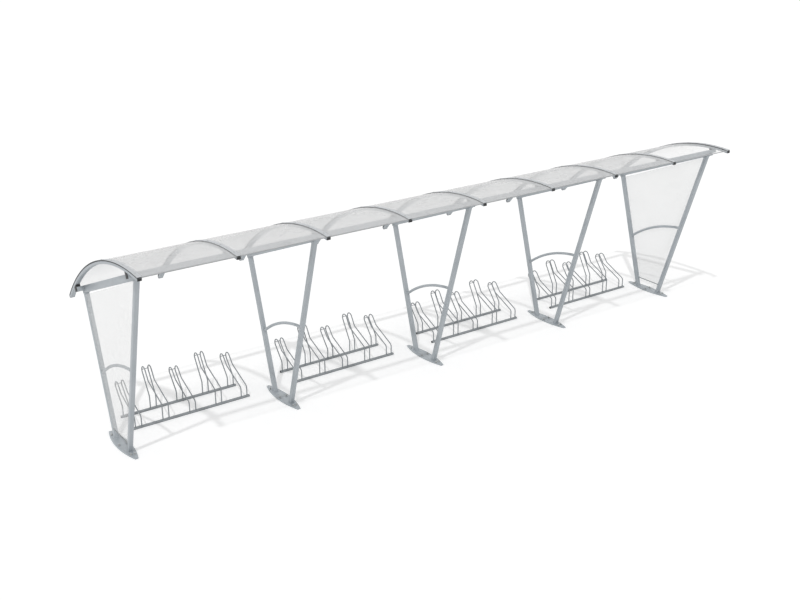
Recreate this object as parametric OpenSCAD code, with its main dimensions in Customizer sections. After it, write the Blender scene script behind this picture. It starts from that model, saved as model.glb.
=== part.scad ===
// Bike shelter: five V-shaped frames on lens-shaped base plates carry two purlins, nine curved
// ribs and eight bent roof sheets. The two end frames are glazed. Four wheel racks stand below.
// X runs along the shelter, the open front faces -Y, and the ground is at Z = 0.
// The origin is under the centre of the middle base plate.

/* [Layout] */
// Distance from one roof rib to the next; a frame stands under every second rib
rib_pitch = 1050; // [850:10:1300]
// Distance from an end rib inwards to its end frame
end_inset = 83; // [80:1:140]
// Slope of the roof chord, low at the rear
roof_tilt = 22; // [15:1:26]
// Height of the cross beam's centre line above the middle of the base plate
beam_axis_z = 1905; // [1700:5:2200]

/* [Base plates] */
// Length of a base plate, front to rear
plate_len = 750; // [700:10:900]
// Width of a base plate at its middle
plate_w = 160; // [150:5:220]
// Thickness of a base plate
plate_t = 12; // [8:1:20]
// Width of a base plate's blunt tip
plate_tip_w = 36; // [10:1:60]
// Diameter of an anchor hole
anchor_d = 14; // [12:1:18]
// Distance between the two anchors at each tip, along X
tip_anchor_x = 44; // [40:1:46]
// Distance between the front and the rear anchors, along Y
tip_anchor_y = 550; // [530:5:570]
// Distance between the two anchors at the middle, along X
mid_anchor_x = 90; // [80:1:100]

/* [Frames] */
// Side of the square post tube
post_w = 50; // [40:1:60]
// Wall of the post tube
post_wall = 3; // [2:0.5:4]
// Distance from the shelter's middle line to a post's axis, at the height of the cross beam
post_spread_y = 753.9; // [730:0.1:800]
// Distance from the middle of the plate to a post's axis at ground level
post_foot_y = 186; // [170:1:200]
// Width of the cross beam
beam_w = 50; // [40:1:60]
// Height of the cross beam
beam_h = 80; // [70:1:100]
// Wall of the cross beam
beam_wall = 3; // [2:0.5:4]
// How far the cross beam's ends run on past the purlins
beam_end = 10; // [5:1:30]
// Diameter of the bowed hip rail
hip_d = 34; // [28:1:35]
// Height of the hip rail's chord on the shelter's middle line
hip_z = 886; // [800:2:1000]
// Slope of the hip rail's chord, low at the rear
hip_tilt = 21.7; // [10:0.1:24]
// Rise of the hip rail's bow above its chord
hip_rise = 76; // [40:1:100]

/* [Purlins] */
// Width of a purlin
purlin_w = 60; // [50:1:70]
// Height of a purlin
purlin_h = 50; // [40:1:65]
// Wall of a purlin
purlin_wall = 3; // [2:0.5:4]
// Distance between the centre lines of the two purlins
purlin_span = 1670; // [1600:10:1740]
// Distance from the post frame's middle to the middle of the two purlins, towards the front
roof_shift = 110; // [90:1:130]
// Thickness of a purlin's end cap
purlin_cap_t = 5; // [3:1:10]

/* [Ribs] */
// Width of a rib
rib_w = 50; // [40:1:60]
// Depth of a rib
rib_h = 30; // [25:1:60]
// Wall of a rib
rib_wall = 2.5; // [2:0.5:4]
// Inner radius of a rib
rib_r = 2350; // [2000:10:2600]
// Chord of a rib, end to end
rib_chord = 2180; // [1950:10:2400]
// Thinnest part of the wedge bracket between purlin and rib
bracket_t = 2; // [1:0.5:6]
// How far a rib's front cap stands out of the rib
front_cap_len = 8; // [5:1:40]
// How far a front cap is set in from the rib's sides
front_cap_inset = 2; // [0.5:0.5:2]
// How far a rear cap stands proud of the rib all round
cap_lip = 1; // [0.5:0.5:4]

/* [Roof sheets] */
// Thickness of a roof sheet
sheet_t = 5; // [3:0.5:8]
// Clear slot round a sheet's edge
slot_gap = 0.5; // [0.3:0.1:1]
// Thickness of the gasket below and above a sheet
gasket_t = 2; // [1.5:0.5:4]
// Width of the gasket's middle web
web_w = 24; // [16:1:30]
// Room for a sheet to grow, at each side
sheet_room = 3; // [2:0.5:6]
// Thickness of the cover strip
cover_t = 4; // [2:0.5:6]
// Distance from a rib's rear end to the sheet's rear edge, along the arc
rear_setback = 40; // [20:1:80]
// Depth of the edge trim on a sheet's front and rear edges
trim_len = 8; // [5:1:25]
// Wall of the edge trim
trim_wall = 1; // [0.8:0.1:3]

/* [Side panels] */
// Thickness of a side panel
panel_t = 5; // [4:0.5:8]
// Height of the panel's foot rail above the ground
panel_low_z = 126; // [100:1:200]
// Height of the foot rail itself
panel_rail_h = 10; // [8:1:25]
// Width of the foot rail
panel_rail_w = 10; // [8:1:10]
// Distance from the frame's middle plane outwards to the panel
panel_offset = 20; // [20:0.5:21]
// Gap between the panel's top edge and the beam, at the front post
panel_top_gap = 4; // [2:1:15]
// How many degrees steeper than the beam the panel's top edge falls
panel_top_fall = 0.6; // [0:0.1:1.5]
// Gap between the panel's edge and a post
panel_side_gap = 0.5; // [0.3:0.1:1]

/* [Wheel racks] */
// Length of a rack's ground rails
rack_len = 1470; // [1430:10:1550]
// Distance between two wheel holders
holder_pitch = 335; // [300:5:350]
// Distance from the shelter's middle line to the front rail
front_rail_y = 270; // [250:5:290]
// Distance from the shelter's middle line to the rear rail
rear_rail_y = 622; // [600:2:640]
// Width of a ground rail
rail_w = 30; // [20:1:50]
// Height of a ground rail
rail_h = 25; // [20:1:40]
// Wall of a ground rail
rail_wall = 2.5; // [2:0.5:4]
// Diameter of the hoop's round bar
rod_d = 14; // [10:1:18]
// Distance between the two hoops of a holder
hoop_gap = 76; // [70:1:90]
// Top of a low hoop
low_top_z = 416; // [380:2:440]
// Top of a high hoop
high_top_z = 516; // [470:2:560]
// Distance from the shelter's middle line to the middle of a hoop's top
hoop_top_y = 732; // [710:2:770]
// Radius of the bend at the top of a hoop
hoop_bend_r = 52; // [30:1:60]
// Radius of the hoop's other bends
rod_bend_r = 40; // [20:1:60]
// How much the bar swells at a bend
bend_swell = 0.1; // [0.08:0.01:0.3]
// Height of the bend above the rear rail, as a share of the hoop's height
rear_bend_share = 0.3; // [0.2:0.01:0.4]
// Height of the bend in the middle of the front branch, as a share of the hoop's height
mid_bend_share = 0.7; // [0.6:0.01:0.8]
// How far the front branch comes down from its middle bend to the bend above the front rail
front_drop = 155; // [120:5:180]
// Diameter of the tie between two hoops
tie_d = 8; // [5:1:10]

/* [Hidden] */
RIBS = 9;
FRAMES = 5;
RACKS = 4;
HOLDERS = 5;
BIG = 6000;
SKIN = 1;
LAP = 1;

function numbered(name, count) = [for (i = [1 : count]) str(name, "_", i)];

rib_x = [for (i = [0 : RIBS - 1]) (i - (RIBS - 1) / 2) * rib_pitch];
frame_x = [for (i = [0 : FRAMES - 1])
    rib_x[2 * i] + (i == 0 ? end_inset : i == FRAMES - 1 ? -end_inset : 0)];
rack_x = [for (i = [0 : RACKS - 1]) rib_x[2 * i + 1]];

post_lean = atan((post_spread_y - post_foot_y) / beam_axis_z);
purlin_end_x = rib_x[RIBS - 1] + rib_w / 2;
front_purlin_y = -roof_shift - purlin_span / 2;
rear_purlin_y = -roof_shift + purlin_span / 2;
beam_front_y = front_purlin_y - purlin_w / 2 - beam_end;
beam_rear_y = rear_purlin_y + purlin_w / 2 + beam_end;

rib_r_out = rib_r + rib_h;
sheet_r = rib_r_out + gasket_t + slot_gap;
cover_r = sheet_r + sheet_t + slot_gap + gasket_t;
skin_r = cover_r + cover_t;
arc_z = beam_h / 2 + bracket_t - sqrt(rib_r * rib_r - pow(purlin_span / 2 + purlin_w / 2, 2));
rib_half_angle = asin(rib_chord / 2 / (rib_r + rib_h / 2));
sheet_w = rib_pitch - web_w - 2 * sheet_room;
trim_w = rib_pitch - rib_w - 2 * cap_lip - 2 * slot_gap;
rear_sheet_angle = rib_half_angle - arc_deg(rear_setback, sheet_r);

// Degrees that an arc length takes up at a radius
function arc_deg(length, radius) = length / radius * 180 / PI;

steel = [0.72, 0.76, 0.79];
rack_steel = [0.55, 0.58, 0.61];
dark = [0.12, 0.13, 0.14];
clear = [0.85, 0.88, 0.9, 0.5];

// The sloping frame that the beams, purlins and roof are set out in
module on_slope() {
    translate([0, 0, beam_axis_z]) rotate([-roof_tilt, 0, 0]) children();
}

// Square or oblong tube along X, centred
module tube_x(length, w, h, wall) {
    difference() {
        cube([length, w, h], center = true);
        cube([length + 2 * SKIN, w - 2 * wall, h - 2 * wall], center = true);
    }
}

// Part of a ring round the roof's axis, from an angle towards the rear to one towards the front
module roof_arc(r_in, r_out, width, rear_deg, front_deg) {
    translate([0, -roof_shift, arc_z]) rotate([90, 0, 90])
        rotate_extrude(angle = rear_deg + front_deg, start = 90 - rear_deg, $fn = 360)
            translate([r_in, -width / 2]) square([r_out - r_in, width]);
}

module base_plate(i) {
    side_r = (pow(plate_len / 2, 2) + pow((plate_w - plate_tip_w) / 2, 2)) / (plate_w - plate_tip_w);
    color(steel) translate([frame_x[i], 0, 0]) difference() {
        intersection() {
            translate([side_r - plate_w / 2, 0, 0]) cylinder(r = side_r, h = plate_t, $fn = 240);
            translate([plate_w / 2 - side_r, 0, 0]) cylinder(r = side_r, h = plate_t, $fn = 240);
            cube([plate_w, plate_len, 2 * plate_t], center = true);
        }
        for (x = [-1, 1], y = [-1, 1]) {
            translate([x * tip_anchor_x / 2, y * tip_anchor_y / 2, -SKIN])
                cylinder(d = anchor_d, h = plate_t + 2 * SKIN, $fn = 32);
        }
        for (x = [-1, 1]) {
            translate([x * mid_anchor_x / 2, 0, -SKIN])
                cylinder(d = anchor_d, h = plate_t + 2 * SKIN, $fn = 32);
        }
    }
}

// Outside of a leaning post, longer than the post at both ends; side is -1 in front and 1 behind
module post_bar(side, w) {
    translate([0, side * post_foot_y, 0]) rotate([-side * post_lean, 0, 0])
        cube([w, w, BIG], center = true);
}

// The space over a plane that slopes with the roof
module above_slope(z) {
    on_slope() translate([0, 0, z + BIG]) cube(2 * BIG, center = true);
}

module below_level(z) {
    translate([0, 0, z - BIG]) cube(2 * BIG, center = true);
}

// A post stands on its plate and is cut to the cross beam's slope at its top
module post(side) {
    difference() {
        post_bar(side, post_w);
        post_bar(side, post_w - 2 * post_wall);
        below_level(plate_t);
        above_slope(-beam_h / 2);
    }
}

module posts(side) {
    color(steel) for (x = frame_x) translate([x, 0, 0]) post(side);
}

module front_posts() { posts(-1); }

module rear_posts() { posts(1); }

// Closed beam, with both ends cut down to cradle the purlins
module cross_beam() {
    length = beam_rear_y - beam_front_y;
    tongue_h = beam_h - purlin_h;
    translate([0, (beam_rear_y + beam_front_y) / 2, 0]) difference() {
        cube([beam_w, length, beam_h], center = true);
        cube([beam_w - 2 * beam_wall, length - 2 * beam_wall, beam_h - 2 * beam_wall], center = true);
        for (end = [-1, 1]) {
            translate([0, end * length / 2, tongue_h])
                cube([beam_w + 2 * SKIN, 2 * (purlin_w + beam_end), beam_h], center = true);
        }
    }
}

module cross_beams() {
    color(steel) for (x = frame_x) on_slope() translate([x, 0, 0]) cross_beam();
}

// Bowed rail from post to post, cut to the posts' faces
module hip_rails() {
    lean = tan(post_lean);
    slope = tan(hip_tilt);
    rear_y = (post_foot_y + lean * hip_z) / (1 + lean * slope);
    front_y = -(post_foot_y + lean * hip_z) / (1 - lean * slope);
    chord = (rear_y - front_y) / cos(hip_tilt);
    mid_y = (rear_y + front_y) / 2;
    bow_r = (chord * chord / 4 + hip_rise * hip_rise) / (2 * hip_rise);
    half_angle = asin(chord / 2 / bow_r);
    drop = bow_r - hip_rise;
    color(steel) for (x = frame_x) translate([x, 0, 0]) difference() {
        translate([0, mid_y - drop * sin(hip_tilt), hip_z - mid_y * slope - drop * cos(hip_tilt)])
            rotate([90, 0, 90])
                rotate_extrude(angle = 2 * half_angle, start = 90 - hip_tilt - half_angle, $fn = 180)
                    translate([bow_r, 0]) circle(d = hip_d, $fn = 48);
        post_bar(-1, post_w);
        post_bar(1, post_w);
    }
}

module purlin(y) {
    color(steel) on_slope() translate([0, y, (beam_h - purlin_h) / 2])
        tube_x(2 * (purlin_end_x - purlin_cap_t), purlin_w, purlin_h, purlin_wall);
}

module front_purlin() { purlin(front_purlin_y); }

module rear_purlin() { purlin(rear_purlin_y); }

module purlin_caps() {
    color(dark) for (y = [front_purlin_y, rear_purlin_y], end = [-1, 1]) {
        on_slope() translate([end * (purlin_end_x - purlin_cap_t / 2), y, (beam_h - purlin_h) / 2])
            cube([purlin_cap_t, purlin_w, purlin_h], center = true);
    }
}

// Wedges that fill the space between a purlin's flat top and the curved rib
module rib_brackets() {
    color(dark) for (x = rib_x, y = [front_purlin_y, rear_purlin_y]) on_slope() intersection() {
        translate([x - rib_w / 2, y - purlin_w / 2, beam_h / 2]) cube([rib_w, purlin_w, purlin_h]);
        translate([x - rib_w, -roof_shift, arc_z]) rotate([0, 90, 0])
            cylinder(r = rib_r, h = 2 * rib_w, $fn = 360);
    }
}

module roof_rib(i) {
    end_skin = arc_deg(SKIN, rib_r);
    color(steel) on_slope() translate([rib_x[i], 0, 0]) difference() {
        roof_arc(rib_r, rib_r_out, rib_w, rib_half_angle, rib_half_angle);
        roof_arc(rib_r + rib_wall, rib_r_out - rib_wall, rib_w - 2 * rib_wall,
            rib_half_angle + end_skin, rib_half_angle + end_skin);
    }
}

module rib_front_caps() {
    cap_angle = arc_deg(front_cap_len, rib_r);
    color(dark) for (x = rib_x) on_slope() translate([x, 0, 0])
        roof_arc(rib_r + front_cap_inset, rib_r_out - front_cap_inset, rib_w - 2 * front_cap_inset,
            -rib_half_angle, rib_half_angle + cap_angle);
}

// Half-round ends that close the ribs behind the rear purlin
module rib_rear_caps() {
    cap_d = skin_r - rib_r + 2 * cap_lip;
    mid_r = (skin_r + rib_r) / 2;
    color(steel) for (x = rib_x) on_slope() translate([x, 0, 0]) difference() {
        translate([0, mid_r * sin(rib_half_angle) - roof_shift, mid_r * cos(rib_half_angle) + arc_z])
            rotate([0, 90, 0]) cylinder(d = cap_d, h = rib_w + 2 * cap_lip, center = true, $fn = 48);
        roof_arc(rib_r - cap_d, skin_r + cap_d, 2 * rib_w, rib_half_angle, 0);
    }
}

// Gasket between rib and cover strip, with a slot for a sheet on each side that has one
module rib_gasket(i) {
    pocket = (rib_w - web_w) / 2;
    sides = i == 0 ? [1] : i == RIBS - 1 ? [-1] : [-1, 1];
    on_slope() translate([rib_x[i], 0, 0]) difference() {
        roof_arc(rib_r_out, cover_r, rib_w, rib_half_angle, rib_half_angle);
        for (side = sides) {
            translate([side * (web_w + pocket + SKIN) / 2, 0, 0])
                roof_arc(rib_r_out + gasket_t, cover_r - gasket_t, pocket + SKIN,
                    rib_half_angle + SKIN, rib_half_angle + SKIN);
        }
    }
}

module rib_gaskets() {
    color(dark) for (i = [0 : RIBS - 1]) rib_gasket(i);
}

module cover_strips() {
    color(steel) for (x = rib_x) on_slope() translate([x, 0, 0])
        roof_arc(cover_r, skin_r, rib_w, rib_half_angle, rib_half_angle);
}

module roof_sheet(i) {
    color(clear) on_slope() translate([(rib_x[i] + rib_x[i + 1]) / 2, 0, 0])
        roof_arc(sheet_r, sheet_r + sheet_t, sheet_w, rear_sheet_angle, rib_half_angle);
}

// Channel that closes a sheet's edge; angles run from the back of the channel to its mouth
module edge_trim(slot_rear, slot_front, trim_rear, trim_front) {
    difference() {
        roof_arc(sheet_r - slot_gap - trim_wall, sheet_r + sheet_t + slot_gap + trim_wall, trim_w,
            trim_rear, trim_front);
        roof_arc(sheet_r - slot_gap, sheet_r + sheet_t + slot_gap, trim_w + 2 * SKIN,
            slot_rear, slot_front);
    }
}

module front_edge_trims() {
    slot = arc_deg(slot_gap, sheet_r);
    back = arc_deg(slot_gap + trim_wall, sheet_r);
    depth = arc_deg(trim_len, sheet_r);
    color(dark) for (i = [0 : RIBS - 2]) on_slope() translate([(rib_x[i] + rib_x[i + 1]) / 2, 0, 0])
        edge_trim(0, rib_half_angle + slot, depth - rib_half_angle, rib_half_angle + back);
}

module rear_edge_trims() {
    slot = arc_deg(slot_gap, sheet_r);
    back = arc_deg(slot_gap + trim_wall, sheet_r);
    depth = arc_deg(trim_len, sheet_r);
    color(dark) for (i = [0 : RIBS - 2]) on_slope() translate([(rib_x[i] + rib_x[i + 1]) / 2, 0, 0])
        edge_trim(rear_sheet_angle + slot, 0, rear_sheet_angle + back, depth - rear_sheet_angle);
}

// Everything between the two posts of a frame, as a slab of the given thickness
module between_posts(thickness, gap) {
    top_z = 2 * beam_axis_z;
    lean = tan(post_lean);
    difference() {
        rotate([90, 0, 90]) linear_extrude(thickness, center = true)
            polygon([for (end = [[-1, 0], [1, 0], [1, top_z], [-1, top_z]])
                [end[0] * (post_foot_y + lean * end[1]), end[1]]]);
        post_bar(-1, post_w + 2 * gap);
        post_bar(1, post_w + 2 * gap);
    }
}

// Everything above a side panel's top edge
module above_panel() {
    on_slope() translate([0, -post_spread_y, -beam_h / 2 - panel_top_gap])
        rotate([-panel_top_fall, 0, 0])
            translate([0, 0, BIG]) cube(2 * BIG, center = true);
}

module side_panel(end) {
    x = frame_x[end == -1 ? 0 : FRAMES - 1] + end * panel_offset;
    color(clear) translate([x, 0, 0]) difference() {
        between_posts(panel_t, panel_side_gap);
        below_level(panel_low_z + panel_rail_h / 2);
        above_panel();
    }
}

module side_panel_left() { side_panel(-1); }

module side_panel_right() { side_panel(1); }

// Foot rail of each side panel, between the posts
module panel_rails() {
    color(dark) for (end = [-1, 1])
        translate([frame_x[end == -1 ? 0 : FRAMES - 1] + end * panel_offset, 0, 0])
            difference() {
                between_posts(panel_rail_w, 0);
                below_level(panel_low_z - panel_rail_h / 2);
                translate([0, 0, panel_low_z + panel_rail_h / 2 + BIG]) cube(2 * BIG, center = true);
            }
}

module rack_rails() {
    color(rack_steel) for (x = rack_x, y = [front_rail_y, rear_rail_y]) {
        translate([x, y, rail_h / 2]) tube_x(rack_len, rail_w, rail_h, rail_wall);
    }
}

function unit(v) = v / norm(v);
// Direction of a path's stretch number i, and how far the path turns at its point number i
function way(path, i) = unit(path[i + 1] - path[i]);
function turn(path, i) = asin(cross(way(path, i - 1), way(path, i)));
// How much of a stretch the bend at point number i takes up; there is no bend at the ends
function setback(path, i) =
    i == 0 || i == len(path) - 1 ? 0 : rod_bend_r * tan(abs(turn(path, i)) / 2);

// Straight round bar from one bend to the next, which it enters by a small lap
module rod(path, i) {
    from = path[i] + way(path, i) * (setback(path, i) - LAP);
    to = path[i + 1] - way(path, i) * (setback(path, i + 1) - LAP);
    translate([0, from[0], from[1]]) rotate([-atan2(way(path, i)[0], way(path, i)[1]), 0, 0])
        cylinder(d = rod_d, h = norm(to - from), $fn = 32);
}

// Round bar bent in the shelter's cross-section, with its bend's start and sweep in degrees
module round_bend(centre, radius, start, sweep) {
    translate([0, centre[0], centre[1]]) rotate([90, 0, 90])
        rotate_extrude(angle = sweep, start = start, $fn = 96)
            translate([radius, 0]) circle(d = rod_d + 2 * bend_swell, $fn = 32);
}

// Bar that follows a path of points, with a round bend at each inner point
module bent_bar(path) {
    for (i = [0 : len(path) - 2]) rod(path, i);
    for (i = [1 : len(path) - 2]) {
        side = sign(turn(path, i));
        before = way(path, i - 1);
        inward = side * [-before[1], before[0]];
        centre = path[i] - before * setback(path, i) + inward * rod_bend_r;
        start = atan2(-inward[1], -inward[0]);
        round_bend(centre, rod_bend_r, side > 0 ? start : start + turn(path, i), abs(turn(path, i)));
    }
}

function hoop_top_centre(top_z) = [hoop_top_y, top_z - rod_d / 2 - hoop_bend_r];
function hoop_rear_bend(top_z) = [rear_rail_y, rail_h + rear_bend_share * (top_z - rail_h)];

// Lean of a hoop's upper part: the line from the rear bend that just meets the top bend
function hoop_lean(top_z) =
    let (way = hoop_top_centre(top_z) - hoop_rear_bend(top_z))
    atan2(way[0], way[1]) + asin(hoop_bend_r / norm(way));

// One hoop of round bar: up from the rear rail, back over its top, and down to the front rail
module hoop(top_z) {
    lean = hoop_lean(top_z);
    centre = hoop_top_centre(top_z);
    rear_top = centre + hoop_bend_r * [cos(lean), -sin(lean)];
    front_top = centre - hoop_bend_r * [cos(lean), -sin(lean)];
    mid_z = rail_h + mid_bend_share * (top_z - rail_h);
    mid_bend = [front_top[0] - (front_top[1] - mid_z) * tan(lean), mid_z];
    bent_bar([[rear_rail_y, rail_h + LAP], hoop_rear_bend(top_z), rear_top]);
    round_bend(centre, hoop_bend_r, -lean, 180);
    bent_bar([front_top, mid_bend, [front_rail_y, mid_z - front_drop], [front_rail_y, rail_h + LAP]]);
}

function holder_x(rack, i) = rack_x[rack] + (i - (HOLDERS - 1) / 2) * holder_pitch;
function holder_top_z(i) = i % 2 == 0 ? low_top_z : high_top_z;

module rack_hoops(rack) {
    color(rack_steel) for (i = [0 : HOLDERS - 1], side = [-1, 1]) {
        translate([holder_x(rack, i) + side * hoop_gap / 2, 0, 0]) hoop(holder_top_z(i));
    }
}

// Short bars that tie the two hoops of each holder together, at the rear of their top bends
module rack_ties() {
    color(rack_steel) for (rack = [0 : RACKS - 1], i = [0 : HOLDERS - 1]) {
        at = hoop_top_centre(holder_top_z(i)) + [hoop_bend_r, 0];
        translate([holder_x(rack, i), at[0], at[1]]) rotate([0, 90, 0])
            cylinder(d = tie_d, h = hoop_gap - rod_d - 2 * bend_swell, center = true, $fn = 24);
    }
}

for (i = [1 : FRAMES]) base_plate(i - 1);
front_posts();
rear_posts();
cross_beams();
hip_rails();
front_purlin();
rear_purlin();
purlin_caps();
rib_brackets();
for (i = [1 : RIBS]) roof_rib(i - 1);
rib_front_caps();
rib_rear_caps();
rib_gaskets();
cover_strips();
for (i = [1 : RIBS - 1]) roof_sheet(i - 1);
front_edge_trims();
rear_edge_trims();
side_panel_left();
side_panel_right();
panel_rails();
rack_rails();
rack_ties();
for (i = [1 : RACKS]) rack_hoops(i - 1);
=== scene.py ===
import math

import bpy
from mathutils import Matrix, Vector


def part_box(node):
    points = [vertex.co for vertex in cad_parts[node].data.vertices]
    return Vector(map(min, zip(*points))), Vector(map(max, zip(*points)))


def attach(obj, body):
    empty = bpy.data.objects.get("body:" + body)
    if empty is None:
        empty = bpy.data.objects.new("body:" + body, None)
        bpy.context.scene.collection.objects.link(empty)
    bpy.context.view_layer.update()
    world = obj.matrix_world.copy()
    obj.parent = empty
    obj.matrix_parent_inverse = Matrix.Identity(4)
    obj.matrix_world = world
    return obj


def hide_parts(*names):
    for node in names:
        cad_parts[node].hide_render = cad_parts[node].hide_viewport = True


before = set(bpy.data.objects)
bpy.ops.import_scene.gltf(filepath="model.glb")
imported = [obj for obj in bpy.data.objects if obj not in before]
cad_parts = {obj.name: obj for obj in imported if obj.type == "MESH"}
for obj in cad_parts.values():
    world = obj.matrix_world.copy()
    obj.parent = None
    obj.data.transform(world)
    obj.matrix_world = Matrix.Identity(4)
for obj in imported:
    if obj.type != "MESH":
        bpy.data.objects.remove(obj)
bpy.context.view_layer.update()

bpy.ops.object.select_all(action="DESELECT")
bpy.context.scene.view_settings.view_transform = "Standard"

# ---------------------------------------------------------------------------------------------
# Base plates. Five lens-shaped plates, cut from 12 mm steel, galvanised and then coated light
# blue-grey. Their edges are eased by the blast, and each is bolted down at its tips and middle.
# ---------------------------------------------------------------------------------------------
FRAMES = 5
FRAME_PLACES = (-4.117, -2.1, 0.0, 2.1, 4.117)
plate_thickness = 0.012
plate_ease = 0.0012
merge_within = 0.00001
COAT_TONES = ((0.395, 0.430, 0.458), (0.445, 0.480, 0.507))


def add_grain(tree, scale, detail, packing=(1, 1, 1)):
    """A cloud of noise in the object's own coordinates; packing crowds it along an axis."""
    place = tree.nodes.new("ShaderNodeTexCoord")
    mapping = tree.nodes.new("ShaderNodeMapping")
    mapping.inputs["Scale"].default_value = packing
    cloud = tree.nodes.new("ShaderNodeTexNoise")
    cloud.inputs["Scale"].default_value = scale
    cloud.inputs["Detail"].default_value = detail
    tree.links.new(place.outputs["Object"], mapping.inputs["Vector"])
    tree.links.new(mapping.outputs["Vector"], cloud.inputs["Vector"])
    return cloud.outputs["Fac"]


def spread_between(tree, grain, low, high):
    """Turns a grain into a value that runs from low to high over the grain's middle range."""
    ramp = tree.nodes.new("ShaderNodeMapRange")
    ramp.inputs["From Min"].default_value = 0.3
    ramp.inputs["From Max"].default_value = 0.7
    ramp.inputs["To Min"].default_value = low
    ramp.inputs["To Max"].default_value = high
    tree.links.new(grain, ramp.inputs["Value"])
    return ramp.outputs["Result"]


def tint_between(tree, grain, tones):
    """Turns a grain into a colour between two tones."""
    ramp = tree.nodes.new("ShaderNodeValToRGB")
    for stop, place, tone in zip(ramp.color_ramp.elements, (0.35, 0.65), tones):
        stop.position = place
        stop.color = (*tone, 1)
    tree.links.new(grain, ramp.inputs["Fac"])
    return ramp.outputs["Color"]


def roughen(tree, shader, heights, strength, depth):
    """Gives a shader a bumpy skin of the given depth in metres."""
    bump = tree.nodes.new("ShaderNodeBump")
    bump.inputs["Strength"].default_value = strength
    bump.inputs["Distance"].default_value = depth
    tree.links.new(heights, bump.inputs["Height"])
    tree.links.new(bump.outputs["Normal"], shader.inputs["Normal"])


def new_finish(name):
    """A new material, with its node tree and its shader."""
    finish = bpy.data.materials.new(name)
    finish.use_nodes = True
    return finish, finish.node_tree, finish.node_tree.nodes["Principled BSDF"]


def coated_steel(name, tones):
    """Powder coat on galvanised steel: orange peel, patches of dust and rubbed lighter spots."""
    finish, tree, shader = new_finish(name)
    shader.inputs["Metallic"].default_value = 0.15
    shader.inputs["Coat Weight"].default_value = 0.15
    shader.inputs["Coat Roughness"].default_value = 0.35
    patches = add_grain(tree, scale=3.5, detail=6)
    tree.links.new(tint_between(tree, patches, tones), shader.inputs["Base Color"])
    scuffs = add_grain(tree, scale=60, detail=4)
    tree.links.new(spread_between(tree, scuffs, low=0.36, high=0.52), shader.inputs["Roughness"])
    orange_peel = add_grain(tree, scale=900, detail=2)
    roughen(tree, shader, orange_peel, strength=0.12, depth=0.0004)
    return finish


def dress(piece, finish):
    """Gives a piece one finish in place of all it had."""
    piece.data.materials.clear()
    piece.data.materials.append(finish)


def dress_node(node, finish):
    """Gives a CAD node that stays as it is one finish."""
    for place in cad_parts[node].material_slots:
        place.material = finish


def only(piece):
    """Selects one piece and nothing else."""
    bpy.ops.object.select_all(action="DESELECT")
    piece.select_set(True)
    bpy.context.view_layer.objects.active = piece


def copy_of(node, name):
    """A new piece from a copy of a CAD node, with its loose triangles merged."""
    piece = bpy.data.objects.new(name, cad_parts[node].data.copy())
    bpy.context.scene.collection.objects.link(piece)
    only(piece)
    bpy.ops.object.mode_set(mode="EDIT")
    bpy.ops.mesh.select_all(action="SELECT")
    bpy.ops.mesh.remove_doubles(threshold=merge_within)
    bpy.ops.mesh.dissolve_limited(angle_limit=math.radians(0.5))
    bpy.ops.mesh.normals_make_consistent(inside=False)
    bpy.ops.object.mode_set(mode="OBJECT")
    return piece


def ease_edges(piece, width, segments=2, sharper_than=40):
    """Rounds a piece's sharp edges and applies it."""
    only(piece)
    bevel = piece.modifiers.new("ease", "BEVEL")
    bevel.width = width
    bevel.segments = segments
    bevel.limit_method = "ANGLE"
    bevel.angle_limit = math.radians(sharper_than)
    bpy.ops.object.modifier_apply(modifier=bevel.name)
    smooth(piece)


def smooth(piece, angle=35):
    """Shades a piece smooth where its faces meet at less than an angle."""
    only(piece)
    bpy.ops.object.shade_smooth_by_angle(angle=math.radians(angle))


def smooth_copy(node):
    """A copy of a CAD node with its curves shaded smooth."""
    piece = copy_of(node, f"smooth_{node}")
    smooth(piece)
    return piece


def fit(piece, finish, slot, *nodes):
    """Finishes a new piece: its look, the body it rides on and what it stands for; slot is not used.
    """
    dress(piece, finish)
    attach(piece, "root")
    if nodes:
        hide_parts(*nodes)


frame_coat = coated_steel("light_grey_powder_coat", COAT_TONES)
for i in range(1, FRAMES + 1):
    plate = copy_of(f"base_plate_{i}", f"eased_plate_{i}")
    ease_edges(plate, plate_ease)
    fit(plate, frame_coat, "frame_steel", f"base_plate_{i}")

# ---------------------------------------------------------------------------------------------
# Ground anchors. Six M12 studs hold each plate, one pair at each tip and one at the middle.
# Each stud comes up through a washer and a hex nut, all zinc plated.
# ---------------------------------------------------------------------------------------------
washer_r = 0.012
washer_t = 0.0025
nut_r = 0.0109
nut_t = 0.010
stud_r = 0.006
stud_bottom = 0.001
stud_height = 0.022
rim_ease = 0.0004
nut_ease = 0.001
washer_top = plate_thickness + washer_t
nut_top = plate_thickness + washer_t + nut_t
stud_top = plate_thickness + stud_height
TIP_ANCHORS = (0.022, 0.275)
MIDDLE_ANCHOR_X = 0.045
ZINC_TONES = ((0.42, 0.43, 0.43), (0.58, 0.59, 0.58))


def zinc_plate():
    """Zinc plating: bright, with a dull mottle."""
    finish, tree, shader = new_finish("zinc_plate")
    shader.inputs["Metallic"].default_value = 0.9
    mottle = add_grain(tree, scale=220, detail=5)
    tree.links.new(tint_between(tree, mottle, ZINC_TONES), shader.inputs["Base Color"])
    tree.links.new(spread_between(tree, mottle, low=0.32, high=0.5), shader.inputs["Roughness"])
    return finish


def turned(name, sides, radius, bottom, top, ease):
    """A short upright cylinder with eased rims, centred on the vertical axis."""
    middle = (0, 0, (bottom + top) / 2)
    bpy.ops.mesh.primitive_cylinder_add(vertices=sides, radius=radius, depth=top - bottom,
        location=middle)
    piece = bpy.context.active_object
    piece.name = name
    bpy.ops.object.transform_apply(location=True, rotation=True, scale=True)
    ease_edges(piece, ease, segments=1, sharper_than=50)
    return piece


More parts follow.
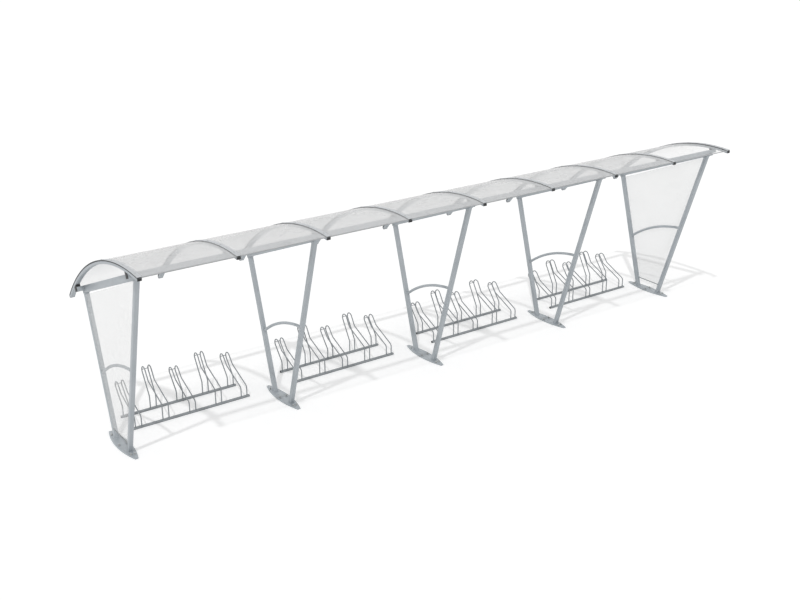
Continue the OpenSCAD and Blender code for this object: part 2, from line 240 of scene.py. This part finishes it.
def joined(pieces, name):
    """Joins pieces into the first of them."""
    bpy.ops.object.select_all(action="DESELECT")
    for piece in pieces:
        piece.select_set(True)
    bpy.context.view_layer.objects.active = pieces[0]
    bpy.ops.object.join()
    pieces[0].name = name
    return pieces[0]


def placed(piece, moves, name):
    """Copies a finished piece by each move, joins the copies and removes the first one."""
    copies = []
    for move in moves:
        copy = bpy.data.objects.new(name, piece.data.copy())
        bpy.context.scene.collection.objects.link(copy)
        copy.data.transform(move)
        copies.append(copy)
    bpy.data.objects.remove(piece)
    return joined(copies, name)


def repeated(piece, places, name):
    return placed(piece, [Matrix.Translation(place) for place in places], name)


zinc = zinc_plate()
for i, x in enumerate(FRAME_PLACES, 1):
    washer = turned("washer", 24, washer_r, plate_thickness, washer_top, rim_ease)
    nut = turned("nut", 6, nut_r, washer_top, nut_top, nut_ease)
    stud = turned("stud", 16, stud_r, stud_bottom, stud_top, nut_ease)
    anchor = joined([washer, nut, stud], "anchor")
    spots = [(x + a * TIP_ANCHORS[0], b * TIP_ANCHORS[1], 0) for a in (-1, 1) for b in (-1, 1)]
    spots += [(x + a * MIDDLE_ANCHOR_X, 0, 0) for a in (-1, 1)]
    anchors = repeated(anchor, spots, f"ground_anchors_{i}")
    fit(anchors, zinc, "rack_steel")

# ---------------------------------------------------------------------------------------------
# Posts. Two square steel tubes lean out from the middle of each plate as a V. Each is welded to
# the plate all round its foot, and cut to the roof's slope where the cross beam sits on it.
# ---------------------------------------------------------------------------------------------
post_side = 0.050
post_corner = 0.005
post_lean = math.radians(16.6)
post_foot_y = 0.186
post_reach = 5.0
roof_tilt = math.radians(22)
beam_axis_z = 1.905
beam_height = 0.080
bead_width = 0.005
bead_round = bead_width * 0.9


def edges_picked(piece, wanted):
    """Goes into edit mode with only the edges that are wanted selected."""
    only(piece)
    bpy.ops.object.mode_set(mode="EDIT")
    bpy.ops.mesh.select_mode(type="EDGE")
    bpy.ops.mesh.select_all(action="DESELECT")
    bpy.ops.object.mode_set(mode="OBJECT")
    points = piece.data.vertices
    for edge in piece.data.edges:
        edge.select = wanted(*(points[i].co for i in edge.vertices))
    bpy.ops.object.mode_set(mode="EDIT")


def square_tube(name, width, depth, length, corner):
    """An upright tube with rounded corners, centred; its ends are closed by what it meets."""
    bpy.ops.mesh.primitive_cube_add(size=1, scale=(width, depth, length))
    piece = bpy.context.active_object
    piece.name = name
    bpy.ops.object.transform_apply(location=True, rotation=True, scale=True)
    edges_picked(piece, lambda a, b: abs(a.z - b.z) > length / 2)
    bpy.ops.mesh.bevel(offset=corner, segments=4, affect="EDGES")
    bpy.ops.object.mode_set(mode="OBJECT")
    return piece


def cut_off(piece, point, outward):
    """Cuts a piece by a plane, closes it, and drops what lies on the plane's outward side."""
    only(piece)
    bpy.ops.object.mode_set(mode="EDIT")
    bpy.ops.mesh.select_all(action="SELECT")
    bpy.ops.mesh.bisect(plane_co=point, plane_no=outward, use_fill=True, clear_outer=True)
    bpy.ops.object.mode_set(mode="OBJECT")


up_slope = Matrix.Rotation(-roof_tilt, 4, "X")
on_slope = Matrix.Translation((0, 0, beam_axis_z)) @ up_slope
beam_underside = on_slope @ Vector((0, 0, -beam_height / 2))
slope_normal = up_slope @ Vector((0, 0, 1))


def post(side):
    """One post in the shelter's middle plane; side is -1 in front and 1 behind."""
    tube = square_tube("post", post_side, post_side, post_reach, post_corner)
    tube.data.transform(Matrix.Rotation(-side * post_lean, 4, "X"))
    tube.data.transform(Matrix.Translation((0, side * post_foot_y, 0)))
    cut_off(tube, (0, 0, plate_thickness), (0, 0, -1))
    cut_off(tube, beam_underside, slope_normal)
    smooth(tube)
    return tube


def bead(side, surface_point, normal, facing):
    """The weld bead round a post's end: a low rounded collar on the plane that the post meets."""
    axis = Vector((0, side * math.sin(post_lean), math.cos(post_lean)))
    start = Vector((0, side * post_foot_y, 0))
    normal = Vector(normal)
    reach = (Vector(surface_point) - start).dot(normal) / axis.dot(normal)
    long_side = post_side / abs(axis.dot(normal))
    size = (post_side + 2 * bead_width, long_side + 2 * bead_width, bead_width)
    bpy.ops.mesh.primitive_cube_add(size=1, scale=size, location=(0, 0, bead_width / 2))
    collar = bpy.context.active_object
    bpy.ops.object.transform_apply(location=True, rotation=True, scale=True)
    edges_picked(collar, lambda a, b: min(a.z, b.z) > bead_width / 2)
    bpy.ops.mesh.bevel(offset=bead_round, segments=4, affect="EDGES")
    bpy.ops.object.mode_set(mode="OBJECT")
    collar.data.transform(facing)
    collar.data.transform(Matrix.Translation(start + axis * reach))
    smooth(collar, 60)
    return collar


across = [(x, 0, 0) for x in FRAME_PLACES]
for side, node in ((-1, "front_posts"), (1, "rear_posts")):
    fit(repeated(post(side), across, f"{node}_tubes"), frame_coat, "frame_steel", node)
face_down = up_slope @ Matrix.Rotation(math.pi, 4, "X")
feet = [bead(side, (0, 0, plate_thickness), (0, 0, 1), Matrix()) for side in (-1, 1)]
heads = [bead(side, beam_underside, slope_normal, face_down) for side in (-1, 1)]
fit(repeated(joined(feet + heads, "beads"), across, "post_welds"), frame_coat, "frame_steel")

# ---------------------------------------------------------------------------------------------
# Cross beams and hip rails. A closed beam joins the two post tops along the roof's slope, and
# its notched ends cradle the purlins. A bowed round rail ties the posts together at hip height.
# ---------------------------------------------------------------------------------------------
beam_corner = 0.002
hip_d = 0.034
hip_z = 0.886
hip_tilt = math.radians(21.7)
hip_rise = 0.076
hip_end = 0.006
hip_sides = 20
hip_steps = 28

beams = copy_of("cross_beams", "eased_cross_beams")
ease_edges(beams, beam_corner)
fit(beams, frame_coat, "frame_steel", "cross_beams")


def spun_bar(name, profile, steps, centre, angle):
    """Spins a flat profile about a line along X, and closes it at both ends."""
    only(profile)
    bpy.ops.object.mode_set(mode="EDIT")
    bpy.ops.mesh.select_all(action="SELECT")
    bpy.ops.mesh.spin(steps=steps, angle=-angle, center=centre, axis=(1, 0, 0))
    bpy.ops.mesh.select_all(action="SELECT")
    bpy.ops.mesh.remove_doubles(threshold=merge_within)
    bpy.ops.mesh.normals_make_consistent(inside=False)
    bpy.ops.object.mode_set(mode="OBJECT")
    profile.name = name
    return profile


def hip_rail():
    """One rail: an arc between the posts, its chord tilted, its ends sunk in the posts' walls."""
    lean = math.tan(post_lean)
    slope = math.tan(hip_tilt)
    rear_y = (post_foot_y + lean * hip_z) / (1 + lean * slope)
    front_y = -(post_foot_y + lean * hip_z) / (1 - lean * slope)
    chord = (rear_y - front_y) / math.cos(hip_tilt)
    middle_y = (rear_y + front_y) / 2
    bow_r = (chord * chord / 4 + hip_rise * hip_rise) / (2 * hip_rise)
    drop = bow_r - hip_rise
    half = math.asin(chord / 2 / bow_r) - (post_side / 2 - hip_end) / bow_r
    axis_y = middle_y - drop * math.sin(hip_tilt)
    axis_z = hip_z - middle_y * slope - drop * math.cos(hip_tilt)
    bpy.ops.mesh.primitive_circle_add(vertices=hip_sides, radius=hip_d / 2, fill_type="NGON",
        location=(0, 0, bow_r), rotation=(math.pi / 2, 0, 0))
    end = bpy.context.active_object
    bpy.ops.object.transform_apply(location=True, rotation=True, scale=True)
    end.data.transform(Matrix.Rotation(-hip_tilt - half, 4, "X"))
    end.data.transform(Matrix.Translation((0, axis_y, axis_z)))
    rail = spun_bar("hip_rail", end, hip_steps, (0, axis_y, axis_z), 2 * half)
    smooth(rail, 50)
    return rail


fit(repeated(hip_rail(), across, "bowed_hip_rails"), frame_coat, "frame_steel", "hip_rails")

# ---------------------------------------------------------------------------------------------
# Purlins. Two square steel tubes run the whole length of the roof on the beams' ends. Black
# moulded caps with rounded faces close their ends.
# ---------------------------------------------------------------------------------------------
purlin_width = 0.060
purlin_height = 0.050
purlin_corner = 0.005
purlin_end_x = 4.225
purlin_cap_t = 0.005
cap_ease = 0.0018
cap_rounds = 3
BLACK_TONES = ((0.012, 0.013, 0.014), (0.030, 0.031, 0.033))


def moulded_plastic(name, tones):
    """Moulded plastic with a fine spark-eroded grain, slightly bleached in patches."""
    finish, tree, shader = new_finish(name)
    shader.inputs["IOR"].default_value = 1.48
    bleach = add_grain(tree, scale=14, detail=5)
    tree.links.new(tint_between(tree, bleach, tones), shader.inputs["Base Color"])
    tree.links.new(spread_between(tree, bleach, low=0.45, high=0.62), shader.inputs["Roughness"])
    spark_grain = add_grain(tree, scale=1400, detail=3)
    roughen(tree, shader, spark_grain, strength=0.25, depth=0.0003)
    return finish


black_plastic = moulded_plastic("black_moulded_plastic", BLACK_TONES)
purlin_length = 2 * (purlin_end_x - purlin_cap_t)
for node in ("front_purlin", "rear_purlin"):
    low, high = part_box(node)
    y = (low[1] + high[1]) / 2
    z = (low[2] + high[2]) / 2
    tube = square_tube("purlin", purlin_height, purlin_width, purlin_length, purlin_corner)
    tube.data.transform(Matrix.Rotation(math.pi / 2, 4, "Y"))
    tube.data.transform(Matrix.Translation((0, y, z)) @ up_slope)
    smooth(tube)
    fit(tube, frame_coat, "frame_steel", node)
    tube.name = f"{node}_tube"
caps = copy_of("purlin_caps", "rounded_purlin_caps")
ease_edges(caps, cap_ease, cap_rounds)
fit(caps, black_plastic, "cap_plastic", "purlin_caps")
dress_node("rib_brackets", black_plastic)

# ---------------------------------------------------------------------------------------------
# Roof ribs. Nine aluminium box sections, rolled to one radius and coated like the frame, sit on
# the purlins over black wedges. Black caps close their front ends, grey ones their rear ends.
# ---------------------------------------------------------------------------------------------
rib_pitch = 1.05
RIB_PLACES = tuple(rib_pitch * (i - 4) for i in range(9))
roof_shift = 0.110
purlin_edge_y = 0.865
wedge_t = 0.002
rib_width = 0.050
rib_depth = 0.030
rib_corner = 0.004
rib_inner_r = 2.350
rib_chord = 2.180
rib_half_angle = math.asin(rib_chord / 2 / (rib_inner_r + rib_depth / 2))
rib_steps = 72
axis_drop = math.sqrt(rib_inner_r ** 2 - purlin_edge_y ** 2) - beam_height / 2 - wedge_t
roof_axis = on_slope @ Vector((0, -roof_shift, -axis_drop))
rib_cap_ease = 0.003
GREY_PLASTIC_TONES = ((0.24, 0.26, 0.28), (0.32, 0.34, 0.36))


def rounded_profile(name, width, depth, middle_r, corner):
    """A flat rectangle with rounded corners, at a rib's rear end, square to the roof's arc."""
    bpy.ops.mesh.primitive_plane_add(size=1)
    profile = bpy.context.active_object
    profile.name = name
    profile.scale = (width, depth, 1)
    bpy.ops.object.transform_apply(location=True, rotation=True, scale=True)
    bpy.ops.object.mode_set(mode="EDIT")
    bpy.ops.mesh.select_all(action="SELECT")
    bpy.ops.mesh.bevel(offset=corner, segments=3, affect="VERTICES")
    bpy.ops.object.mode_set(mode="OBJECT")
    profile.data.transform(Matrix.Rotation(math.pi / 2, 4, "X"))
    profile.data.transform(Matrix.Translation((0, 0, middle_r)))
    profile.data.transform(Matrix.Rotation(-roof_tilt - rib_half_angle, 4, "X"))
    profile.data.transform(Matrix.Translation(roof_axis))
    return profile


for i, x in enumerate(RIB_PLACES, 1):
    end = rounded_profile("rib", rib_width, rib_depth, rib_inner_r + rib_depth / 2, rib_corner)
    rib = spun_bar(f"rolled_rib_{i}", end, rib_steps, roof_axis, 2 * rib_half_angle)
    rib.data.transform(Matrix.Translation((x, 0, 0)))
    smooth(rib)
    fit(rib, frame_coat, "rib_metal", f"roof_rib_{i}")

front_caps = copy_of("rib_front_caps", "rounded_front_caps")
ease_edges(front_caps, rib_cap_ease, cap_rounds)
fit(front_caps, black_plastic, "cap_plastic", "rib_front_caps")
grey_plastic = moulded_plastic("grey_moulded_plastic", GREY_PLASTIC_TONES)
rear_caps = copy_of("rib_rear_caps", "rounded_rear_caps")
ease_edges(rear_caps, rib_cap_ease, cap_rounds)
fit(rear_caps, grey_plastic, "end_cap_plastic", "rib_rear_caps")

# ---------------------------------------------------------------------------------------------
# Gaskets and cover strips. A black rubber section lies on each rib and grips the sheets' edges.
# An aluminium strip with eased edges is screwed down over it.
# ---------------------------------------------------------------------------------------------
cover_t = 0.004
gasket_height = 0.010
cover_r = rib_inner_r + rib_depth + gasket_height
cover_top = cover_r + cover_t
cover_corner = 0.0012
screw_count = 8
screw_reach = math.radians(25)
seal_r = 0.008
seal_t = 0.0015
head_r = 0.0055
head_t = 0.003
head_ease = 0.0016
RUBBER_TONES = ((0.018, 0.019, 0.020), (0.040, 0.041, 0.043))
ALUMINIUM_TONES = ((0.50, 0.52, 0.54), (0.62, 0.64, 0.66))


def rubber(name):
    """Extruded rubber: dull, with a greyish bloom and a fine rough skin."""
    finish, tree, shader = new_finish(name)
    bloom = add_grain(tree, scale=9, detail=6)
    tree.links.new(tint_between(tree, bloom, RUBBER_TONES), shader.inputs["Base Color"])
    tree.links.new(spread_between(tree, bloom, low=0.6, high=0.8), shader.inputs["Roughness"])
    skin = add_grain(tree, scale=500, detail=3)
    roughen(tree, shader, skin, strength=0.2, depth=0.0003)
    return finish


def mill_aluminium():
    """Mill-finish aluminium with drawn lines, dulled outdoors."""
    finish, tree, shader = new_finish("mill_aluminium")
    shader.inputs["Metallic"].default_value = 0.45
    drawn = add_grain(tree, scale=30, detail=6, packing=(14, 1, 1))
    tree.links.new(tint_between(tree, drawn, ALUMINIUM_TONES), shader.inputs["Base Color"])
    tree.links.new(spread_between(tree, drawn, low=0.34, high=0.5), shader.inputs["Roughness"])
    roughen(tree, shader, drawn, strength=0.05, depth=0.0005)
    return finish


black_rubber = rubber("black_rubber")
aluminium = mill_aluminium()
fit(smooth_copy("rib_gaskets"), black_rubber, "gasket_rubber", "rib_gaskets")
strips = []
for x in RIB_PLACES:
    end = rounded_profile("strip", rib_width, cover_t, cover_r + cover_t / 2, cover_corner)
    strip = spun_bar("strip", end, rib_steps, roof_axis, 2 * rib_half_angle)
    strip.data.transform(Matrix.Translation((x, 0, 0)))
    strips.append(strip)
cover_strips = joined(strips, "screwed_cover_strips")
smooth(cover_strips)
fit(cover_strips, aluminium, "cover_metal", "cover_strips")

seal = turned("seal", 18, seal_r, cover_top, cover_top + seal_t, rim_ease)
head = turned("head", 14, head_r, cover_top + seal_t, cover_top + seal_t + head_t, head_ease)
screw = joined([seal, head], "screw")
turns_on_arc = [screw_reach * (2 * k / (screw_count - 1) - 1) for k in range(screw_count)]
screw_spots = []
for x in RIB_PLACES:
    to_axis = Matrix.Translation((x, roof_axis.y, roof_axis.z))
    screw_spots += [to_axis @ Matrix.Rotation(turn - roof_tilt, 4, "X") for turn in turns_on_arc]
screws = placed(screw, screw_spots, "cover_screws")
fit(screws, zinc, "cover_metal")

# ---------------------------------------------------------------------------------------------
# Roof sheets. Eight clear plastic sheets, bent cold between the ribs. Dust films them all, and the
# film is set thicker in front and thinnest on the last sheet. Grey channels close front and rear
# edges.
# ---------------------------------------------------------------------------------------------
SHEET_TONES = ((0.65, 0.652, 0.655), (0.72, 0.722, 0.725))
CHANNEL_TONES = ((0.38, 0.39, 0.40), (0.46, 0.47, 0.48))
front_film = 0.43
last_sheet_film = 0.14
rear_film = 0.15
film_front_y = -0.10
film_rear_y = 0.25
film_least = 0.85
film_most = 1.15
shade_share = 0.2
gloss_rise = 9
gloss_roughness = 0.12
roof_stipple = 130


def sheet_skin(name, tones, grain_scale):
    """The body of a sheet's finish: dust in soft patches and a faint stipple on its face."""
    finish, tree, shader = new_finish(name)
    shader.inputs["IOR"].default_value = 1.58
    shader.inputs["Specular IOR Level"].default_value = 0.35
    dust = add_grain(tree, scale=1.7, detail=7)
    tree.links.new(tint_between(tree, dust, tones), shader.inputs["Base Color"])
    tree.links.new(spread_between(tree, dust, low=0.22, high=0.36), shader.inputs["Roughness"])
    stipple = add_grain(tree, grain_scale, detail=3)
    roughen(tree, shader, stipple, strength=0.15, depth=0.0006)
    return finish, tree, shader, stipple


def film_by_depth(tree, film_in_front):
    """How much the roof's film hides: the given amount in front, easing over the middle to the rear
    amount.
    """
    place = tree.nodes.new("ShaderNodeTexCoord")
    axes = tree.nodes.new("ShaderNodeSeparateXYZ")
    film = tree.nodes.new("ShaderNodeMapRange")
    film.interpolation_type = "SMOOTHSTEP"
    film.inputs["From Min"].default_value = film_front_y
    film.inputs["From Max"].default_value = film_rear_y
    film.inputs["To Min"].default_value = film_in_front
    film.inputs["To Max"].default_value = rear_film
    tree.links.new(place.outputs["Object"], axes.inputs["Vector"])
    tree.links.new(axes.outputs["Y"], film.inputs["Value"])
    return film.outputs["Result"]


def worked_out(tree, operation, first, second):
    """What a sum, product or the like makes of two values; the second may be a plain number."""
    result = tree.nodes.new("ShaderNodeMath")
    result.operation = operation
    tree.links.new(first, result.inputs[0])
    if isinstance(second, (int, float)):
        result.inputs[1].default_value = second
    else:
        tree.links.new(second, result.inputs[1])
    return result.outputs["Value"]


def shade_thinner(tree):
    """One for sight, and less for light on its way, since the film scatters most of it on."""
    ray = tree.nodes.new("ShaderNodeLightPath").outputs
    on_its_way = worked_out(tree, "MAXIMUM", ray["Is Shadow Ray"], ray["Is Diffuse Ray"])
    share = tree.nodes.new("ShaderNodeMapRange")
    share.inputs["To Min"].default_value = 1
    share.inputs["To Max"].default_value = shade_share
    tree.links.new(on_its_way, share.inputs["Value"])
    return share.outputs["Result"]


def blend(tree, share, under, over):
    """Two shaders mixed, with the given share of the second."""
    both = tree.nodes.new("ShaderNodeMixShader")
    tree.links.new(share, both.inputs[0])
    tree.links.new(under.outputs[0], both.inputs[1])
    tree.links.new(over.outputs[0], both.inputs[2])
    return both


def clear_under_dust(tree, dust_coat, film):
    """Clear sheet with a film of dust on it; its gloss grows as it is seen more on edge."""
    clear = tree.nodes.new("ShaderNodeBsdfTransparent")
    gloss = tree.nodes.new("ShaderNodeBsdfGlossy")
    gloss.inputs["Roughness"].default_value = gloss_roughness
    on_edge = tree.nodes.new("ShaderNodeLayerWeight")
    mirrored = worked_out(tree, "POWER", on_edge.outputs["Facing"], gloss_rise)
    thin_film = worked_out(tree, "MULTIPLY", film, shade_thinner(tree))
    dusted = blend(tree, thin_film, clear, dust_coat)
    glossed = blend(tree, mirrored, dusted, gloss)
    tree.links.new(glossed.outputs[0], tree.nodes["Material Output"].inputs["Surface"])


def roof_glazing(name, film_in_front):
    """A roof sheet's finish: its film is broken up by the stipple."""
    finish, tree, shader, stipple = sheet_skin(name, SHEET_TONES, roof_stipple)
    broken = spread_between(tree, stipple, film_least, film_most)
    film = worked_out(tree, "MULTIPLY", film_by_depth(tree, film_in_front), broken)
    clear_under_dust(tree, shader, film)
    return finish


dusty = roof_glazing("dusty_roof_sheet", front_film)
# The last sheet's film is set much thinner at its front than the other sheets' film.
last_sheet_glazing = roof_glazing("last_roof_sheet_glazing", last_sheet_film)
SHEETS = len(RIB_PLACES) - 1
for i in range(1, SHEETS + 1):
    skin = last_sheet_glazing if i == SHEETS else dusty
    fit(smooth_copy(f"roof_sheet_{i}"), skin, "roof_glazing", f"roof_sheet_{i}")
grey_channel = moulded_plastic("grey_edge_channel", CHANNEL_TONES)
for node in ("front_edge_trims", "rear_edge_trims"):
    fit(smooth_copy(node), grey_channel, "edge_rubber", node)

# ---------------------------------------------------------------------------------------------
# Side panels. A clear sheet with a faint stipple fills each end frame between its posts. It
# stands in a slim grey rail at its foot and ends free under the beam.
# ---------------------------------------------------------------------------------------------
PANEL_TONES = ((0.62, 0.63, 0.63), (0.70, 0.71, 0.71))
RAIL_TONES = ((0.26, 0.28, 0.29), (0.33, 0.35, 0.36))
panel_film = 0.20
panel_stipple = 110

side_sheet, tree, shader, stipple = sheet_skin("clear_side_sheet", PANEL_TONES, panel_stipple)
film = spread_between(tree, stipple, film_least * panel_film, film_most * panel_film)
clear_under_dust(tree, shader, film)
for node in ("side_panel_left", "side_panel_right"):
    dress_node(node, side_sheet)
dark_coat = coated_steel("dark_grey_powder_coat", RAIL_TONES)
dress_node("panel_rails", dark_coat)

# ---------------------------------------------------------------------------------------------
# Wheel racks. Four racks of five holders stand behind the frames' middle. Two ground rails of
# oblong tube carry pairs of bent round-bar hoops, low and high by turns, tied under their tops.
# ---------------------------------------------------------------------------------------------
RACK_PLACES = (-3.15, -1.05, 1.05, 3.15)
rack_length = 1.470
holder_pitch = 0.335
front_rail_y = 0.270
rear_rail_y = 0.622
rail_width = 0.030
rail_height = 0.025
rail_corner = 0.003
bar_d = 0.014
bar_sides = 14
hoop_gap = 0.076
hoop_tops = (0.416, 0.516)
hoop_top_y = 0.732
top_bend_r = 0.052
bar_bend_r = 0.040
rear_bend_share = 0.30
middle_bend_share = 0.70
front_drop = 0.155
bend_steps = 7
ring_bar_r = 0.0022
ring_r = bar_d / 2 + 0.0008
plug_t = 0.002
plug_setback = 0.002
spangle_share = 0.25
RACK_TONES = ((0.235, 0.255, 0.270), (0.305, 0.325, 0.340))


def galvanised(name, tones):
    """Hot-dip zinc under a thin grey coat: faint spangle, dull patches and streaks."""
    finish, tree, shader = new_finish(name)
    shader.inputs["Metallic"].default_value = 0.35
    place = tree.nodes.new("ShaderNodeTexCoord")
    spangle = tree.nodes.new("ShaderNodeTexVoronoi")
    spangle.inputs["Scale"].default_value = 130
    tree.links.new(place.outputs["Object"], spangle.inputs["Vector"])
    patches = add_grain(tree, scale=7, detail=6)
    faint_spangle = worked_out(tree, "MULTIPLY", spangle.outputs["Distance"], spangle_share)
    mottle = worked_out(tree, "ADD", patches, faint_spangle)
    tree.links.new(tint_between(tree, mottle, tones), shader.inputs["Base Color"])
    tree.links.new(spread_between(tree, patches, low=0.38, high=0.55), shader.inputs["Roughness"])
    dimples = add_grain(tree, scale=350, detail=3)
    roughen(tree, shader, dimples, strength=0.12, depth=0.0004)
    return finish


rack_zinc = galvanised("grey_rack_zinc", RACK_TONES)


def bent_bar(name, path, radii):
    """Draws a round bar along a path in the shelter's cross-section, bending it at each turn."""
    points = [Vector((0, y, z)) for y, z in path]
    ways = [(b - a).normalized() for a, b in zip(points, points[1:])]
    turns = [0] + [math.asin(a.cross(b).x) for a, b in zip(ways, ways[1:])] + [0]
    setbacks = [0] + [r * math.tan(abs(t) / 2) for r, t in zip(radii, turns[1:])] + [0]
    facing = ways[0].to_track_quat("Z", "Y").to_euler()
    bpy.ops.mesh.primitive_circle_add(vertices=bar_sides, radius=bar_d / 2, fill_type="NGON",
        location=points[0], rotation=facing)
    bar = bpy.context.active_object
    bar.name = name
    bpy.ops.object.transform_apply(location=True, rotation=True, scale=True)
    bpy.ops.object.mode_set(mode="EDIT")
    bpy.ops.mesh.select_mode(type="FACE")
    bpy.ops.mesh.select_all(action="SELECT")
    for i, way in enumerate(ways):
        length = (points[i + 1] - points[i]).length - setbacks[i] - setbacks[i + 1]
        if length > 0.0001:
            bpy.ops.mesh.extrude_region_move(TRANSFORM_OT_translate={"value": way * length})
        if turns[i + 1]:
            inward = Vector((1, 0, 0)).cross(way) * math.copysign(1, turns[i + 1])
            centre = points[i + 1] - way * setbacks[i + 1] + inward * radii[i]
            bpy.ops.mesh.spin(steps=bend_steps, angle=-turns[i + 1], center=centre, axis=(1, 0, 0))
    bpy.ops.mesh.select_all(action="SELECT")
    bpy.ops.mesh.remove_doubles(threshold=merge_within)
    bpy.ops.mesh.normals_make_consistent(inside=False)
    bpy.ops.object.mode_set(mode="OBJECT")
    return bar


def hoop(top_z):
    """One hoop: up from the rear rail, back over its top, and down to the front rail."""
    centre = Vector((hoop_top_y, top_z - bar_d / 2 - top_bend_r))
    rear_bend = Vector((rear_rail_y, rail_height + rear_bend_share * (top_z - rail_height)))
    sight = centre - rear_bend
    lean = math.atan2(sight.x, sight.y) + math.asin(top_bend_r / sight.length)
    along = Vector((math.sin(lean), math.cos(lean)))
    across_bar = Vector((math.cos(lean), -math.sin(lean)))
    rear_corner = centre + top_bend_r * (along + across_bar)
    front_corner = centre + top_bend_r * (along - across_bar)
    front_top = centre - top_bend_r * across_bar
    middle_z = rail_height + middle_bend_share * (top_z - rail_height)
    middle_bend = Vector((front_top.x - (front_top.y - middle_z) * math.tan(lean), middle_z))
    path = [(rear_rail_y, rail_height), rear_bend, rear_corner, front_corner, middle_bend,
        (front_rail_y, middle_z - front_drop), (front_rail_y, rail_height)]
    return bent_bar("hoop", path, [bar_bend_r, top_bend_r, top_bend_r, bar_bend_r, bar_bend_r])


def foot_ring(y):
    """The weld ring round a bar's foot on its rail."""
    bpy.ops.mesh.primitive_torus_add(major_segments=14, minor_segments=6, major_radius=ring_r,
        minor_radius=ring_bar_r, location=(0, y, rail_height))
    ring = bpy.context.active_object
    bpy.ops.object.transform_apply(location=True, rotation=True, scale=True)
    return ring


HOLDER_PLACES = [(i - 2) * holder_pitch for i in range(5)]
for rack, x in enumerate(RACK_PLACES, 1):
    both = []
    for k, top_z in enumerate(hoop_tops):
        one = joined([hoop(top_z), foot_ring(front_rail_y), foot_ring(rear_rail_y)], "hoop")
        spots = [(x + h + s * hoop_gap / 2, 0, 0) for h in HOLDER_PLACES[k::2] for s in (-1, 1)]
        both.append(repeated(one, spots, "hoops"))
    hoops = joined(both, f"bent_hoops_{rack}")
    smooth(hoops, 50)
    fit(hoops, rack_zinc, "rack_steel", f"rack_hoops_{rack}")

rails = square_tube("rail", rail_height, rail_width, rack_length, rail_corner)
rails.data.transform(Matrix.Rotation(math.pi / 2, 4, "Y"))
rail_spots = [(x, y, rail_height / 2) for x in RACK_PLACES for y in (front_rail_y, rear_rail_y)]
rails = repeated(rails, rail_spots, "rounded_rack_rails")
smooth(rails)
fit(rails, rack_zinc, "rack_steel", "rack_rails")
fit(smooth_copy("rack_ties"), rack_zinc, "rack_steel", "rack_ties")

plug_depth = rail_width - plug_setback
plug = square_tube("plug", rail_height - plug_setback, plug_depth, plug_t, rail_corner)
plug.data.transform(Matrix.Rotation(math.pi / 2, 4, "Y"))
plug_reach = (rack_length + plug_t) / 2
ends = [(x + way * plug_reach, y, z) for x, y, z in rail_spots for way in (-1, 1)]
plugs = repeated(plug, ends, "rail_end_plugs")
smooth(plugs)
fit(plugs, black_plastic, "rack_steel")

# ---------------------------------------------------------------------------------------------
# The stage. A plain pale floor that looks white but keeps the shelter's shadow, even light from
# all round, one soft sun from the front left, and the camera, which looks down on the roof a little.
# ---------------------------------------------------------------------------------------------
floor_size = 120
floor_tone = (0.93, 0.93, 0.93, 1)
floor_glow = 0.205
air_light = 0.68
sun_strength = 0.85
sun_width = math.radians(1.5)
sun_place = (-6, -6, 9)
sun_travel = Vector((0.508, 0.39, -1.0))
camera_place = (-7.9444, -10.7195, 6.0986)
camera_turn = (math.radians(68.238), 0, math.radians(-35.164))
camera_lens = 50.907
camera_sensor = 36
camera_reach = 200


def seen(tree):
    """One for the rays that the eye sees by, straight, mirrored or through glass, else none."""
    ray = tree.nodes.new("ShaderNodeLightPath").outputs
    straight_or_mirrored = worked_out(tree, "MAXIMUM", ray["Is Camera Ray"], ray["Is Glossy Ray"])
    return worked_out(tree, "MAXIMUM", straight_or_mirrored, ray["Is Transmission Ray"])


bpy.ops.mesh.primitive_plane_add(size=floor_size)
floor = bpy.context.active_object
floor.name = "pale_floor"
floor_finish, tree, shader = new_finish("pale_floor")
shader.inputs["Roughness"].default_value = 0.9
shader.inputs["Specular IOR Level"].default_value = 0.0
shader.inputs["Base Color"].default_value = floor_tone
glow = tree.nodes.new("ShaderNodeEmission")
glowing_floor = tree.nodes.new("ShaderNodeAddShader")
glow_level = worked_out(tree, "MULTIPLY", seen(tree), floor_glow)
tree.links.new(glow_level, glow.inputs["Strength"])
tree.links.new(shader.outputs[0], glowing_floor.inputs[0])
tree.links.new(glow.outputs[0], glowing_floor.inputs[1])
tree.links.new(glowing_floor.outputs[0], tree.nodes["Material Output"].inputs["Surface"])
dress(floor, floor_finish)

world = bpy.data.worlds.new("white_room")
bpy.context.scene.world = world
world.use_nodes = True
air = world.node_tree
backdrop = air.nodes["Background"]
backdrop.inputs["Color"].default_value = (1, 1, 1, 1)
level = air.nodes.new("ShaderNodeMapRange")
level.inputs["To Min"].default_value = air_light
level.inputs["To Max"].default_value = 1.0
air.links.new(seen(air), level.inputs["Value"])
air.links.new(level.outputs["Result"], backdrop.inputs["Strength"])

sun_turn = sun_travel.to_track_quat("-Z", "Y").to_euler()
bpy.ops.object.light_add(type="SUN", location=sun_place, rotation=sun_turn)
sun = bpy.context.active_object
sun.data.energy = sun_strength
sun.data.angle = sun_width

bpy.ops.object.camera_add(location=camera_place, rotation=camera_turn)
camera = bpy.context.active_object
camera.data.sensor_width = camera_sensor
camera.data.lens = camera_lens
camera.data.clip_end = camera_reach
bpy.context.scene.camera = camera
